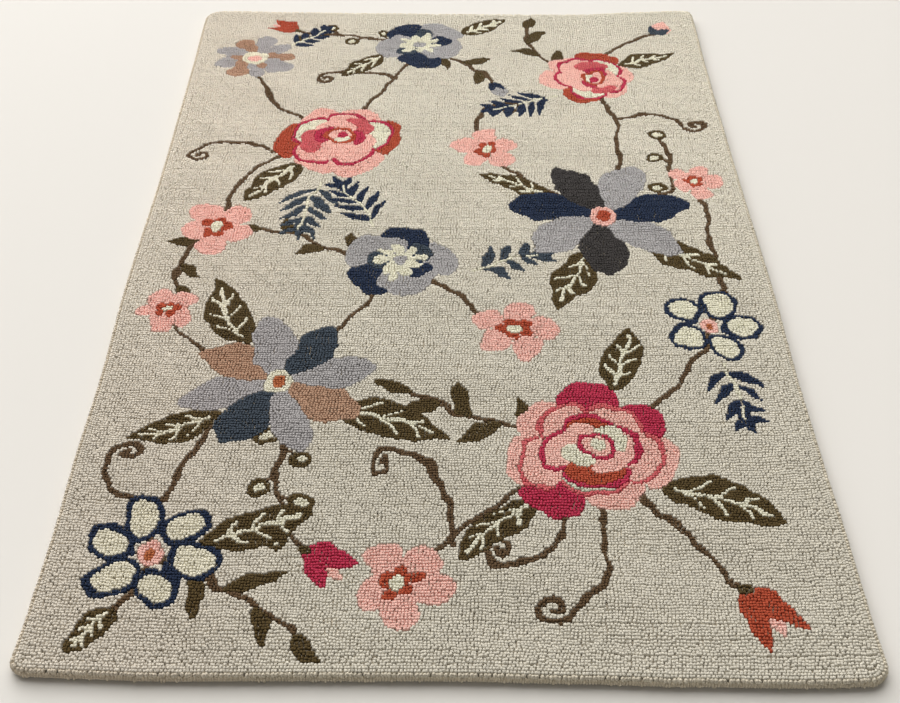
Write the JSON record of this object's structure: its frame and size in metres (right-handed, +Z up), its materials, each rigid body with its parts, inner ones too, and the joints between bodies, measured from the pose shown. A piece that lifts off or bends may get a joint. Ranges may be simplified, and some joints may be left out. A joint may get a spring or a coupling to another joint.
{
  "type": "hand-tufted rug",
  "caption": "Flat loop-pile wool area rug with softly rounded corners and a rolled loop rim, for a floor indoors.",
  "frame": {"origin": "middle of the rug's bounding box, on the floor under it", "axes": "+X across the rug to the right of the pattern, +Y along the rug away from the near end, +Z up through the pile"},
  "size_m": [1.0756, 1.6934, 0.0174],
  "materials": {
    "pile": "matte"
  },
  "bodies": {
    "root": {"rug": "pile"}
  },
  "joints": []
}
